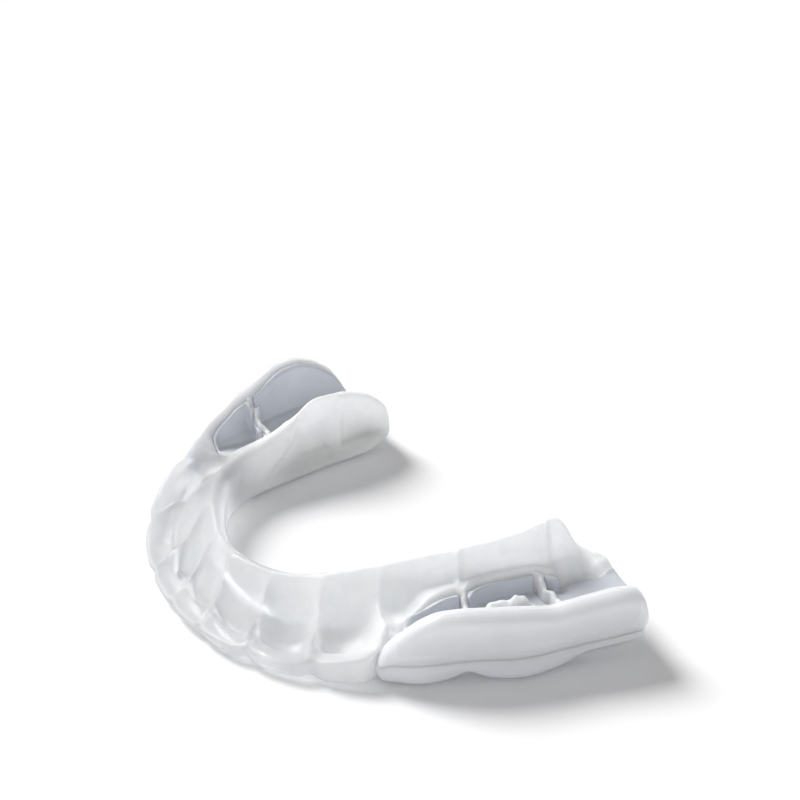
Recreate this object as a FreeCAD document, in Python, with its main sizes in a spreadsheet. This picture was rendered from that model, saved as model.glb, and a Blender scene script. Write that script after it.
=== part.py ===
"""A moulded sports mouthguard for the lower teeth, lying on its biting side with the tooth channel upwards.

A clear shell runs round the whole arch. In front it is a low block with one rounded socket for each tooth;
behind the canines it is a channel with a tall tongue-side wall. Behind the canines each side also carries a
white bite pad under the channel, a flared white cheek wing, a grey liner inside the channel and a thin clear
film over the wing. The left film carries a plain round badge.

Frame: millimetres, +Z up, the front teeth towards -Y, the wearer's right side towards +X. The origin is on the
midline, on the ground, where the centre line of the tooth row crosses it in front.
"""

import FreeCAD
import Part
import math
import os
import Sketcher
from FreeCAD import Vector

DIMENSIONS = (
    # The arch: five tangent arcs, given by their radii and by the heading at which each one ends.
    ("front_radius", 25.4, "centre-line radius across the incisors"),
    ("front_angle", 21.8, "heading at the end of the front arc, degrees"),
    ("corner_radius", 16.9, "centre-line radius round the canine"),
    ("corner_angle", 67.9, "heading at the end of the corner arc, degrees"),
    ("cheek_radius", 70.5, "centre-line radius along the molars"),
    ("right_end_angle", 91.0, "heading where the right side ends, degrees"),
    ("left_end_angle", 83.6, "heading where the shorter left side ends, degrees"),
    # The clear shell.
    ("shell_wall", 1.3, "thickness of the tongue-side wall"),
    ("shell_floor", 0.9, "thickness of the floor at the molars"),
    ("front_reach_in", 3.1, "tongue-side face in front, from the centre line"),
    ("rear_reach_in", 5.0, "tongue-side face at the molars, from the centre line"),
    ("front_reach_out", 5.8, "lip-side face in front, from the centre line"),
    ("rear_reach_out", 3.5, "outer edge of the channel at the molars"),
    ("lip_edge", 1.3, "height of the front lip's outer edge"),
    ("lip_top", 2.6, "height of the front lip's crest"),
    ("lip_crest", 4.8, "distance of that crest from the centre line"),
    ("web_height", 3.6, "height of the webs between the teeth at the tongue-side wall"),
    ("upstand_height", 0.5, "upstand at the channel's outer edge at the molars"),
    ("upstand_wall", 0.5, "thickness of that upstand"),
    ("flange_limit", 12.4, "height of the tongue-side wall before it is trimmed"),
    ("block_end_lip", 3.5, "height of the front block's lip where it meets the bite pad"),
    # The tooth sockets in front.
    ("socket_shift", 0.7, "distance of the sockets outside the centre line"),
    ("socket_floor", 0.6, "material left under the deepest point of each socket"),
    # The bite pads.
    ("pad_top", 3.1, "top face of the bite pad"),
    ("pad_in", 4.7, "inner side of the pad, from the centre line"),
    ("pad_out", 5.8, "outer side of the pad, from the centre line"),
    ("pad_edge", 0.9, "bevel along the pad's lower edges"),
    ("pad_lift", 1.3, "how far the pad's rear end rises off the ground"),
    ("pad_lift_start", 11.0, "length over which the pad's rear end rises"),
    ("underside_spare", 0.4, "material under the ground plane, trimmed off to leave a true flat face"),
    ("lobe_radius", 2.7, "radius of the notch between the pad's two lobes"),
    ("lobe_depth", 0.6, "depth of that notch"),
    ("lobe_angle", 77.0, "heading of the arch at the notch, degrees"),
    # The cheek wings, which flare outwards.
    ("wing_limit", 11.4, "height of the wing before it is trimmed"),
    ("wing_flare", 1.4, "how far the wing leans out at its full height"),
    ("wing_rim", 0.9, "height of the rim above the film"),
    ("web_half_width", 0.4, "half the thickness of the web between two tooth cells, degrees of the arc"),
    ("web_rise", 1.2, "height of the web above the liner"),
    ("web_wall_rise", 0.6, "how much higher the web stands at the tongue-side wall"),
    ("web_shoulder", 1.2, "how far the web reaches in from the wing at its top"),
    ("web_bite", 1.0, "how far the web runs into the wing"),
    ("premolar_web_angle", 75.9, "heading at the web behind the premolars, degrees"),
    ("molar_web_angle", 84.8, "heading at the web between the molars, degrees"),
    ("left_web_angle", 71.4, "heading at the left side's web, degrees"),
    # The liners, the films and the badge.
    ("liner_thickness", 0.45, "thickness of the grey liner"),
    ("liner_drop", 1.0, "distance from the wing's top down to the liner's edge"),
    ("film_thickness", 0.3, "thickness of the clear film"),
    ("badge_thickness", 0.12, "thickness of the printed badge"),
    ("badge_radius", 2.7, "outer radius of the badge's ring"),
    ("badge_ring_width", 0.45, "width of the badge's ring"),
    ("badge_y", 20.0, "badge centre behind the front of the arch's centre line"),
    ("badge_z", 6.3, "badge centre above the ground"),
    ("chevron_half_width", 1.5, "half the width of the chevron on the badge"),
    ("chevron_rise", 1.1, "height of the chevron's point over its ends"),
    ("chevron_band", 0.8, "height of the chevron's band"),
)

# Front teeth from the midline back: name, width along the arch, depth across it, height of the socket's dome.
FRONT_TEETH = (
    ("central_incisor", 5.2, 6.0, 4.7),
    ("lateral_incisor", 5.7, 6.2, 4.7),
    ("canine", 6.6, 7.2, 4.9),
    ("first_premolar", 5.8, 7.4, 4.5),
)
# Side outlines of the tongue-side walls and of the cheek wings, from front to back. Each corner is its distance
# behind the front of the centre line, its height and its rounding radius.
OUTLINES = {
    "right_flange": (
        (3.1, 4.9, 0.0),
        (5.0, 6.3, 2.0),
        (16.2, 8.7, 7.0),
        (29.5, 10.5, 4.0),
        (33.8, 12.2, 1.4),
        (35.6, 8.2, 1.0),
        (39.1, 6.0, 0.0),
    ),
    "left_flange": (
        (3.1, 4.9, 0.0),
        (5.0, 6.3, 2.0),
        (11.2, 7.7, 4.0),
        (16.6, 10.5, 3.5),
        (24.3, 10.2, 4.0),
        (28.4, 7.9, 2.0),
        (30.4, 4.6, 0.0),
    ),
    "right_wing": (
        (10.3, 3.0, 0.0),
        (16.4, 9.7, 3.6),
        (33.3, 9.5, 7.0),
        (38.5, 8.8, 2.2),
        (39.8, 2.8, 0.0),
    ),
    "left_wing": (
        (7.6, 6.2, 0.0),
        (16.6, 10.4, 5.0),
        (23.2, 10.0, 3.6),
        (27.4, 5.8, 2.5),
        (29.0, 2.8, 0.0),
    ),
}
# The grey-lined tooth cells of each side, from front to back, and the webs between them.
CELLS = {"right": ("premolar", "first_molar", "second_molar"), "left": ("premolar", "first_molar")}
WEBS = {"right": ("premolar_web_angle", "molar_web_angle"), "left": ("left_web_angle",)}
# Stations along each cheek arc, as the share of the way back, and how much of the flare is reached there.
CHEEK_STATIONS = ((0.0, 0.0), (0.25, 0.5), (0.5, 1.0), (0.75, 1.0), (1.0, 1.0))
# Stations round each corner arc, how far the wall has moved in there and how far the block has risen.
CORNER_STATIONS = ((0.0, 0.0, 0.0), (0.33, 0.25, 0.1), (0.67, 0.75, 0.4), (1.0, 1.0, 1.0))
# Lines well clear of the whole part, in front of it and behind it, where the side-view cuts begin and end.
CLEAR_FRONT = -12.0
CLEAR_BACK = 60.0
# How far the cuts that end a liner reach inside and outside the cheek arc.
WEDGE_INSIDE = 11.0
WEDGE_OUTSIDE = 13.0

doc = FreeCAD.newDocument("mouthguard")
sheet = doc.addObject("Spreadsheet::Sheet", "dims")


def table_rows():
    """The sizes of the teeth and of the side outlines, as spreadsheet rows."""
    for tooth, width, depth, height in FRONT_TEETH:
        yield f"{tooth}_width", width, "width of the tooth along the arch"
        yield f"{tooth}_depth", depth, "depth of its socket across the arch"
        yield f"{tooth}_dome", height, "height of its socket's dome"
    for outline, corners in OUTLINES.items():
        for number, (back, height, radius) in enumerate(corners, start=1):
            yield f"{outline}_corner{number}_back", back, "outline corner, distance backwards"
            yield f"{outline}_corner{number}_height", height, "outline corner, height"
            yield f"{outline}_corner{number}_round", radius, "outline corner, rounding radius"


def fill_sheet():
    """Writes each driving dimension into the spreadsheet, with its alias and a note beside it."""
    for row, (alias, number, note) in enumerate((*DIMENSIONS, *table_rows()), start=1):
        sheet.set(f"A{row}", alias)
        sheet.set(f"B{row}", str(number))
        sheet.setAlias(f"B{row}", alias)
        sheet.set(f"C{row}", note)
    doc.recompute()


class Size:
    """A length that carries both its number and the spreadsheet expression that gives it."""

    def __init__(self, number, text):
        self.number = number
        self.text = text

    def __add__(self, other):
        other = as_size(other)
        return Size(self.number + other.number, f"({self.text} + {other.text})")

    def __sub__(self, other):
        other = as_size(other)
        return Size(self.number - other.number, f"({self.text} - {other.text})")

    def __mul__(self, other):
        other = as_size(other)
        return Size(self.number * other.number, f"({self.text} * {other.text})")

    def __neg__(self):
        return Size(-self.number, f"(0 - {self.text})")


def as_size(value):
    """A plain number as a Size."""
    return value if isinstance(value, Size) else Size(float(value), repr(float(value)))


def cell(alias):
    """The Size of a spreadsheet alias."""
    return Size(float(sheet.get(alias)), f"dims.{alias}")


def sine(angle):
    return Size(math.sin(math.radians(angle.number)), f"sin({angle.text} * 1 deg)")


def cosine(angle):
    return Size(math.cos(math.radians(angle.number)), f"cos({angle.text} * 1 deg)")


def between(start, end, share):
    """The size that lies share of the way from start to end."""
    return start + (end - start) * share


def origin_plane(body, role):
    """One of the body's own origin planes."""
    return next(f for f in body.Origin.OriginFeatures if f.Role == role)


def make_body(label):
    """A new body, which becomes one named piece of the part."""
    body = doc.addObject("PartDesign::Body", label)
    body.Label = label
    body.Placement = FreeCAD.Placement()
    return body


# ---- Sketch helpers ----


def plane_sketch(body, name, role):
    """A sketch on one of the body's own origin planes. On YZ, x runs backwards and y runs up."""
    sketch = body.newObject("Sketcher::SketchObject", f"{body.Name}_{name}")
    sketch.AttachmentSupport = [(origin_plane(body, role), "")]
    sketch.MapMode = "FlatFace"
    return sketch


def bind(sketch, kind, *where, size):
    """Adds a constraint whose value is a Size, bound to the spreadsheet."""
    sketch.addConstraint(Sketcher.Constraint(kind, *where, size.number))
    sketch.setExpression(f"Constraints[{sketch.ConstraintCount - 1}]", size.text)


def pin_point(sketch, geometry, vertex, x=None, y=None):
    """Holds a sketch point at a distance from the sketch's origin, along one or both axes."""
    if x is not None:
        bind(sketch, "DistanceX", -1, 1, geometry, vertex, size=x)
    if y is not None:
        bind(sketch, "DistanceY", -1, 1, geometry, vertex, size=y)


def draw_polygon(sketch, corners):
    """Draws a closed polygon whose corners are pairs of Size, and returns its first line's index."""
    count = len(corners)
    first = sketch.GeometryCount
    points = [Vector(x.number, y.number, 0) for x, y in corners]
    for i in range(count):
        sketch.addGeometry(Part.LineSegment(points[i], points[(i + 1) % count]), False)
    for i in range(count):
        sketch.addConstraint(Sketcher.Constraint("Coincident", first + i, 2, first + (i + 1) % count, 1))
    for i, (x, y) in enumerate(corners):
        pin_point(sketch, first + i, 1, x, y)
    return first


def draw_circle(sketch, x, y, radius):
    """Draws a circle with its centre and radius bound to the spreadsheet."""
    circle = Part.Circle(Vector(x.number, y.number, 0), Vector(0, 0, 1), radius.number)
    geometry = sketch.addGeometry(circle, False)
    pin_point(sketch, geometry, 3, x, y)
    bind(sketch, "Radius", geometry, size=radius)


def cut_pocket(body, name, sketch, side=None):
    """Cuts a sketch through the body, to both sides or only towards one side, and proves it cut something."""
    before = body.Shape.Volume
    pocket = body.newObject("PartDesign::Pocket", f"{body.Name}_{name}")
    pocket.Profile = sketch
    pocket.Type = "ThroughAll"
    pocket.Midplane = side is None
    pocket.Reversed = side == "right"
    doc.recompute()
    if not 0 < body.Shape.Volume < before - 0.001:
        raise RuntimeError(f"{body.Label}: the pocket {name} cut nothing")
    return pocket


# ---- The arch ----


def arch_arcs():
    """The arch's five arcs from left to right, each as name: (centre x, centre y, radius, start, end heading)."""
    front, corner, cheek = cell("front_radius"), cell("corner_radius"), cell("cheek_radius")
    turn, bend = cell("front_angle"), cell("corner_angle")
    corner_x = (front - corner) * sine(turn)
    corner_y = front - (front - corner) * cosine(turn)
    cheek_x = corner_x + (corner - cheek) * sine(bend)
    cheek_y = corner_y - (corner - cheek) * cosine(bend)
    return {
        "left_cheek": (-cheek_x, cheek_y, cheek, -cell("left_end_angle"), -bend),
        "left_corner": (-corner_x, corner_y, corner, -bend, -turn),
        "front": (as_size(0), front, front, -turn, turn),
        "right_corner": (corner_x, corner_y, corner, turn, bend),
        "right_cheek": (cheek_x, cheek_y, cheek, bend, cell("right_end_angle")),
    }


def add_path(body, name):
    """Draws one arc of the arch's centre line in the body, running from left to right."""
    x, y, radius, start, end = arch_arcs()[name]
    path = plane_sketch(body, f"{name}_path", "XY_Plane")
    circle = Part.Circle(Vector(x.number, y.number, 0), Vector(0, 0, 1), radius.number)
    first, last = (math.radians(a.number - 90) for a in (start, end))
    arc = path.addGeometry(Part.ArcOfCircle(circle, first, last), False)
    pin_point(path, arc, 3, x, y)
    bind(path, "Radius", arc, size=radius)
    for vertex, heading in ((1, start), (2, end)):
        if name.endswith("cheek"):
            pin_point(path, arc, vertex, y=y - radius * cosine(heading))
        else:
            pin_point(path, arc, vertex, x=x + radius * sine(heading))
    doc.recompute()
    return path


def add_section(body, path, share, corners):
    """A closed section across the arch at a share of the path: corners are (outwards, up) from the path."""
    sketch = body.newObject("Sketcher::SketchObject", f"{body.Name}_section")
    sketch.AttachmentSupport = [(path, "Edge1")]
    sketch.MapMode = "FrenetNB"
    sketch.MapPathParameter = share
    draw_polygon(sketch, corners)
    return sketch


def add_loft(body, arc, sections, smooth=True):
    """Lofts the body along one arc of the arch through its sections, (share of the way back, corners)."""
    path = add_path(body, arc)
    if arc.startswith("left"):
        sections = [(1 - share, corners) for share, corners in reversed(sections)]
    sketches = [add_section(body, path, share, corners) for share, corners in sections]
    doc.recompute()
    loft = body.newObject("PartDesign::AdditiveLoft", f"{body.Name}_{arc}")
    loft.Profile = sketches[0]
    loft.Sections = sketches[1:]
    loft.Ruled = not smooth
    doc.recompute()
    return path


def cheek_loft(label, side, section):
    """A body lofted along one cheek arc; section gives the corners for the share of the flare at a station."""
    body = make_body(label)
    sections = [(share, section(flared)) for share, flared in CHEEK_STATIONS]
    add_loft(body, f"{side}_cheek", sections)
    return body


def trim_above(body, side, outline, drop):
    """Cuts away all that lies above a side outline lowered by drop, on one side of the midline."""
    names = [f"{outline}_corner{number}" for number in range(1, len(OUTLINES[outline]) + 1)]
    corners = [(cell(f"{name}_back"), cell(f"{name}_height") - drop) for name in names]
    far_front, far_back, ceiling = as_size(CLEAR_FRONT), as_size(CLEAR_BACK), cell("flange_limit") + 5.0
    ring = [(far_front, corners[0][1]), *corners, (far_back, corners[-1][1])]
    ring += [(far_back, ceiling), (far_front, ceiling)]
    sketch = plane_sketch(body, outline, "YZ_Plane")
    draw_polygon(sketch, ring)
    doc.recompute()
    for line, name in enumerate(names):
        radius = cell(f"{name}_round")
        if radius.number > 0:
            arc = sketch.GeometryCount
            sketch.fillet(line, 2, radius.number, True, True)
            bind(sketch, "Radius", arc, size=radius)
    doc.recompute()
    return cut_pocket(body, f"{outline}_cut", sketch, side)


def trim_below(body, corners):
    """Cuts away all that lies below a line through the corners, which run from front to back."""
    depth = -(cell("underside_spare") + 1.0)
    ring = [*corners, (corners[-1][0], depth), (corners[0][0], depth)]
    sketch = plane_sketch(body, "underside", "YZ_Plane")
    draw_polygon(sketch, ring)
    return cut_pocket(body, "underside_cut", sketch)


# ---- The clear shell ----


def block_section(moved, risen):
    """The front block's section: moved takes its wall from the front's reach to the molars', risen lifts its lip."""
    reach_in = between(cell("front_reach_in"), cell("rear_reach_in"), moved)
    wall_face = reach_in - cell("shell_wall")
    channel = cell("pad_top") + cell("shell_floor")
    crest_height = between(cell("lip_top"), channel, risen)
    return (
        (cell("front_reach_out"), -cell("underside_spare")),
        (cell("front_reach_out"), between(cell("lip_edge"), cell("block_end_lip"), risen)),
        (cell("lip_crest"), crest_height),
        (cell("lip_crest") - 2.0, crest_height),
        (-wall_face, between(cell("web_height"), channel + cell("liner_thickness"), risen)),
        (-wall_face, cell("flange_limit")),
        (-reach_in, cell("flange_limit")),
        (-reach_in, -cell("underside_spare")),
    )


def channel_section():
    """The shell's section at the molars, lying on the bite pad."""
    floor = cell("pad_top") + cell("shell_floor")
    upstand = floor + cell("upstand_height")
    wall_face = cell("rear_reach_in") - cell("shell_wall")
    lip_face = cell("rear_reach_out") - cell("upstand_wall")
    return (
        (cell("rear_reach_out"), cell("pad_top")),
        (cell("rear_reach_out"), upstand),
        (lip_face, upstand),
        (lip_face, floor),
        (-wall_face, floor),
        (-wall_face, cell("flange_limit")),
        (-cell("rear_reach_in"), cell("flange_limit")),
        (-cell("rear_reach_in"), cell("pad_top")),
    )


def front_stations(side):
    """Each front tooth's centre as an arc of the arch and a share of it, walked back from the midline."""
    half_front = math.radians(cell("front_angle").number) * cell("front_radius").number
    corner = math.radians((cell("corner_angle") - cell("front_angle")).number) * cell("corner_radius").number
    walked = 0.0
    for name, *_ in FRONT_TEETH:
        width = cell(f"{name}_width").number
        centre = walked + width / 2
        walked += width
        if centre < half_front:
            arc, share = "front", 0.5 + 0.5 * centre / half_front
        else:
            arc, share = f"{side}_corner", (centre - half_front) / corner
        yield name, arc, share if side == "right" else 1 - share


def cut_sockets(body, paths):
    """Presses each front tooth's rounded socket into the shell."""
    for side in ("left", "right"):
        for name, arc, share in front_stations(side):
            before = body.Shape.Volume
            socket = body.newObject("PartDesign::SubtractiveEllipsoid", f"{side}_{name}_socket")
            socket.AttachmentSupport = [(paths[arc], "Edge1")]
            socket.MapMode = "FrenetNB"
            socket.MapPathParameter = share
            socket.AttachmentOffset = FreeCAD.Placement(Vector(0, 0, 0), FreeCAD.Rotation(Vector(1, 0, 0), -90))
            socket.setExpression("AttachmentOffset.Base.x", "dims.socket_shift")
            socket.setExpression("AttachmentOffset.Base.y", f"dims.socket_floor + dims.{name}_dome")
            socket.setExpression("Radius1", f"dims.{name}_dome")
            socket.setExpression("Radius2", f"dims.{name}_depth / 2")
            socket.setExpression("Radius3", f"dims.{name}_width * 0.485")
            doc.recompute()
            if not 0 < body.Shape.Volume < before - 0.001:
                raise RuntimeError(f"the socket of {side} {name} cut nothing")


def build_shell():
    """The clear shell: block in front, channel with its tall tongue-side wall along each cheek."""
    body = make_body("clear_arch_shell")
    front = [(share, block_section(0.0, 0.0)) for share in (0.0, 0.5, 1.0)]
    paths = {"front": add_loft(body, "front", front)}
    corner = [(share, block_section(moved, risen)) for share, moved, risen in CORNER_STATIONS]
    cheek = [(share, channel_section()) for share, _ in CHEEK_STATIONS]
    for side in ("left", "right"):
        paths[f"{side}_corner"] = add_loft(body, f"{side}_corner", corner)
        add_loft(body, f"{side}_cheek", cheek)
    for side in ("left", "right"):
        trim_above(body, side, f"{side}_flange", as_size(0))
    trim_below(body, ((as_size(CLEAR_FRONT), as_size(0)), (as_size(CLEAR_BACK), as_size(0))))
    cut_sockets(body, paths)
    return body


# ---- The bite pads, cheek wings, liners, films and the badge ----


def wing_lean(flared):
    """How far the wing's faces have moved outwards at its full height."""
    return cell("wing_flare") * flared


def add_webs(body, side):
    """Adds the webs that part the tooth cells: thin walls across the channel, rising up the wing's inner face."""
    floor = cell("pad_top") + cell("shell_floor")
    saddle = floor + cell("liner_thickness") + cell("web_rise")
    upstand = floor + cell("upstand_height")
    wall_face = cell("rear_reach_in") - cell("shell_wall")
    lip_face = cell("rear_reach_out") - cell("upstand_wall")
    lean = cell("rear_reach_out") + cell("wing_flare") * 0.5
    limit = cell("wing_limit")
    corners = (
        (-wall_face, floor),
        (-wall_face, saddle + cell("web_wall_rise")),
        (-cell("lip_edge"), saddle),
        (cell("lip_edge"), saddle),
        (lean - cell("web_shoulder"), limit),
        (lean + cell("web_bite"), limit),
        (cell("rear_reach_out") + cell("web_bite"), upstand),
        (lip_face, upstand),
        (lip_face, floor),
    )
    start = cell("corner_angle").number
    span = cell(f"{side}_end_angle").number - start
    for angle in WEBS[side]:
        middle = (cell(angle).number - start) / span
        half = cell("web_half_width").number / span
        add_loft(body, f"{side}_cheek", [(middle - half, corners), (middle + half, corners)], smooth=False)


def build_wing(side):
    """The white cheek wing with its webs, trimmed to the wing's side outline."""
    limit = cell("wing_limit")
    upstand = cell("pad_top") + cell("shell_floor") + cell("upstand_height")

    def section(flared):
        lean = wing_lean(flared)
        return (
            (cell("pad_out"), cell("pad_top")),
            (cell("pad_out") + lean, limit),
            (cell("rear_reach_out") + lean, limit),
            (cell("rear_reach_out"), upstand),
            (cell("rear_reach_out"), cell("pad_top")),
        )

    body = cheek_loft(f"{side}_cheek_wing", side, section)
    add_webs(body, side)
    trim_above(body, side, f"{side}_wing", as_size(0))
    return body


def ray_point(side, radius, heading):
    """The point at a radius and a heading round a cheek arc's centre."""
    centre_x, centre_y, _, _, _ = arch_arcs()[f"{side}_cheek"]
    swing = radius * sine(heading)
    return (centre_x + swing if side == "right" else centre_x - swing, centre_y - radius * cosine(heading))


def cut_wedge(body, name, side, start, end):
    """Cuts away the part of a cheek that lies between two headings."""
    inside = cell("cheek_radius") - WEDGE_INSIDE
    outside = cell("cheek_radius") + WEDGE_OUTSIDE
    sketch = plane_sketch(body, name, "XY_Plane")
    draw_polygon(
        sketch,
        (
            ray_point(side, inside, start),
            ray_point(side, outside, start),
            ray_point(side, outside, end),
            ray_point(side, inside, end),
        ),
    )
    cut_pocket(body, f"{name}_cut", sketch)


def build_liner(side, name, front_web, back_web):
    """The grey liner of one tooth cell, which ends at the webs in front of it and behind it."""
    floor = cell("pad_top") + cell("shell_floor")
    upstand = floor + cell("upstand_height")
    inner = cell("rear_reach_in") - cell("shell_wall")
    lip_face = cell("rear_reach_out") - cell("upstand_wall")
    thick = cell("liner_thickness")
    limit = cell("wing_limit")

    def section(flared):
        lean = cell("rear_reach_out") + wing_lean(flared)
        return (
            (-inner, floor),
            (-inner, floor + thick),
            (lip_face - thick, floor + thick),
            (lean - thick, limit),
            (lean, limit),
            (cell("rear_reach_out"), upstand),
            (lip_face, upstand),
            (lip_face, floor),
        )

    body = cheek_loft(f"{side}_{name}_liner", side, section)
    trim_above(body, side, f"{side}_wing", cell("liner_drop"))
    half = cell("web_half_width")
    if front_web:
        cut_wedge(body, "front_part", side, cell("corner_angle") - 2.0, cell(front_web) + half)
    if back_web:
        cut_wedge(body, "back_part", side, cell(back_web) - half, cell(f"{side}_end_angle") + 4.0)
    return body


def build_liners(side):
    """The liners of one side, one for each tooth cell between the webs."""
    webs = (None, *WEBS[side], None)
    for number, name in enumerate(CELLS[side]):
        build_liner(side, name, webs[number], webs[number + 1])


def face_layer(label, side, inner, outer):
    """A thin layer along the wing's outer face, between two distances from it."""

    def section(flared):
        lean = wing_lean(flared)
        low, high = cell("pad_top"), cell("wing_limit")
        return (
            (cell("pad_out") + inner, low),
            (cell("pad_out") + outer, low),
            (cell("pad_out") + lean + outer, high),
            (cell("pad_out") + lean + inner, high),
        )

    return cheek_loft(label, side, section)


def build_film(side):
    """The clear film over the wing's outer face, which stops below the wing's rim."""
    body = face_layer(f"{side}_wing_film", side, as_size(0), cell("film_thickness"))
    trim_above(body, side, f"{side}_wing", cell("wing_rim"))
    return body


def build_pad(side):
    """The white bite pad: flat underneath, lifted at the rear, with a notch between its two lobes."""
    edge = cell("pad_edge")

    def section(_):
        return (
            (cell("pad_out"), edge),
            (cell("pad_out"), cell("pad_top")),
            (-cell("pad_in"), cell("pad_top")),
            (-cell("pad_in"), edge),
            (edge - cell("pad_in"), as_size(0)),
            (edge - cell("pad_in"), -cell("underside_spare")),
            (cell("pad_out") - edge, -cell("underside_spare")),
            (cell("pad_out") - edge, as_size(0)),
        )

    body = cheek_loft(f"{side}_bite_pad", side, section)
    _, arc_y, radius, start, end = arch_arcs()[f"{side}_cheek"]
    heading = end if side == "right" else start
    back = arc_y - radius * cosine(heading)
    lift_start = back - cell("pad_lift_start")
    trim_below(body, ((as_size(0), as_size(0)), (lift_start, as_size(0)), (back + 3.0, cell("pad_lift"))))
    notch = plane_sketch(body, "notch", "XY_Plane")
    reach = cell("cheek_radius") + cell("pad_out") + cell("lobe_radius") - cell("lobe_depth")
    draw_circle(notch, *ray_point(side, reach, cell("lobe_angle")), cell("lobe_radius"))
    cut_pocket(body, "notch_cut", notch)
    return body


def chevron(y, z):
    """The chevron's corners round its middle, point upwards."""
    half, rise, band = cell("chevron_half_width"), cell("chevron_rise"), cell("chevron_band")
    low = z - rise * 0.5 - band * 0.5
    return (
        (y - half, low),
        (y - half, low + band),
        (y, low + band + rise),
        (y + half, low + band),
        (y + half, low),
        (y, low + rise),
    )


def build_badge():
    """The round badge on the left film: a ring, the field inside it and a chevron let into the field."""
    inner = cell("film_thickness")
    outer = inner + cell("badge_thickness")
    y, z = cell("badge_y"), cell("badge_z")
    field_radius = cell("badge_radius") - cell("badge_ring_width")
    frame = (
        (y - 30.0, z - 20.0),
        (y + 30.0, z - 20.0),
        (y + 30.0, z + 20.0),
        (y - 30.0, z + 20.0),
    )
    for label, radius in (("badge_ring", cell("badge_radius")), ("badge_field", field_radius)):
        body = face_layer(label, "left", inner, outer)
        around = plane_sketch(body, "around", "YZ_Plane")
        draw_polygon(around, frame)
        draw_circle(around, y, z, radius)
        cut_pocket(body, "around_cut", around)
        within = plane_sketch(body, "within", "YZ_Plane")
        if label == "badge_ring":
            draw_circle(within, y, z, field_radius)
        else:
            draw_polygon(within, chevron(y, z))
        cut_pocket(body, "within_cut", within)
    body = face_layer("badge_chevron", "left", inner, outer)
    around = plane_sketch(body, "around", "YZ_Plane")
    draw_polygon(around, frame)
    draw_polygon(around, chevron(y, z))
    cut_pocket(body, "around_cut", around)


# ---- Checks and files ----


def check_document():
    """Stops when any object failed or any body is not one sound solid."""
    for item in doc.Objects:
        if "Invalid" in item.State or "Error" in item.State:
            raise RuntimeError(f"{item.Label} failed: {item.State}")
    for body in doc.findObjects("PartDesign::Body"):
        shape = body.Shape
        if shape.isNull() or not shape.isValid() or len(shape.Solids) != 1:
            raise RuntimeError(f"{body.Label} is not one valid solid: {len(shape.Solids)}")


def main():
    """Builds every piece and writes each one to its own file."""
    fill_sheet()
    build_shell()
    for side in ("right", "left"):
        build_pad(side)
        build_wing(side)
        build_liners(side)
        build_film(side)
    build_badge()
    doc.recompute()
    check_document()
    os.makedirs("parts", exist_ok=True)
    for body in doc.findObjects("PartDesign::Body"):
        body.Shape.exportStep(f"parts/{body.Label}.step")


main()
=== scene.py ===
import math

import bpy
import numpy as np
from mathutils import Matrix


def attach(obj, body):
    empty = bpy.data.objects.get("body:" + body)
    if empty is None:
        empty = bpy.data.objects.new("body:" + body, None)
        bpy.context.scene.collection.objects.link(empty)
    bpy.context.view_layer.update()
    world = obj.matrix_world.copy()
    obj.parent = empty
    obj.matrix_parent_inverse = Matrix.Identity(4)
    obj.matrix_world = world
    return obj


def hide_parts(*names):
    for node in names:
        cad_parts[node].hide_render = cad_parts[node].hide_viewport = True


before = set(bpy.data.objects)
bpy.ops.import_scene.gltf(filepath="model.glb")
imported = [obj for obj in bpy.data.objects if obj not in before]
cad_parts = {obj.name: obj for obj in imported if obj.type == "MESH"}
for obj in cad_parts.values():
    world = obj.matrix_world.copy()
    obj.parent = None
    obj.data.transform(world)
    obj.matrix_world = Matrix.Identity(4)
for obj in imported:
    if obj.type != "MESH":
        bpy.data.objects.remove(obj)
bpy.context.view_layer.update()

import openvdb
from mathutils import Vector

# The guard's soft forms are fields on a regular grid, negative inside, made into meshes where they are zero.
# They are in millimetres until to_object scales them to metres. Materials, lights and camera are in metres.
# A place in the guard is (s, n, z): s runs along the middle of the tooth row from its front, + on the right
# of the wearer, n outwards to the lips and cheeks, z up. A side is 1 for the right and -1 for the left.
MM = 0.001
STEP = 0.18

# The tooth row's middle line: a wide front arc, tight corner arcs and nearly straight cheek arcs.
FRONT_RADIUS = 25.4
CORNER_RADIUS = 16.9
CHEEK_RADIUS = 70.5
FRONT_ANGLE = math.radians(21.8)
CORNER_ANGLE = math.radians(67.9)
FRONT_LENGTH = FRONT_RADIUS * FRONT_ANGLE
CORNER_LENGTH = FRONT_LENGTH + CORNER_RADIUS * (CORNER_ANGLE - FRONT_ANGLE)


def outwards(angle):
    """Direction from an arc's centre to the tooth row at an angle from the midline."""
    return np.array([math.sin(angle), -math.cos(angle)])


FRONT_CENTRE = np.array([0.0, FRONT_RADIUS])
CORNER_CENTRE = FRONT_CENTRE + (FRONT_RADIUS - CORNER_RADIUS) * outwards(FRONT_ANGLE)
CHEEK_CENTRE = CORNER_CENTRE + (CORNER_RADIUS - CHEEK_RADIUS) * outwards(CORNER_ANGLE)

# Distances along the row at which each side's pieces start and end.
SIDE_END = {1: 51.6, -1: 42.4}
PAD_START = {1: 24.7, -1: 19.0}
WING_START = {1: 24.7, -1: 17.6}
FILM_START = {1: 25.6, -1: 19.6}
FILM_END = {1: 51.0, -1: 41.8}

PAD_TOP = 3.1
PAD_ROUNDING = 0.9  # of the pads' lower edges
WING_UNDERSIDE = PAD_TOP - 1.1  # the wings are rooted in the pads
WING_BASE = 1.6  # the height at which a wing starts to lean outwards
WING_FOOT = 4.3  # outward place of a wing's middle there
BADGE_SWELL = 0.62  # how far the left wing swells outwards to carry the badge

# The left side's grey cells start at a slant across the row.
LEFT_CELL_FRONT = -18.9
CELL_SLANT = 0.45

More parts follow.
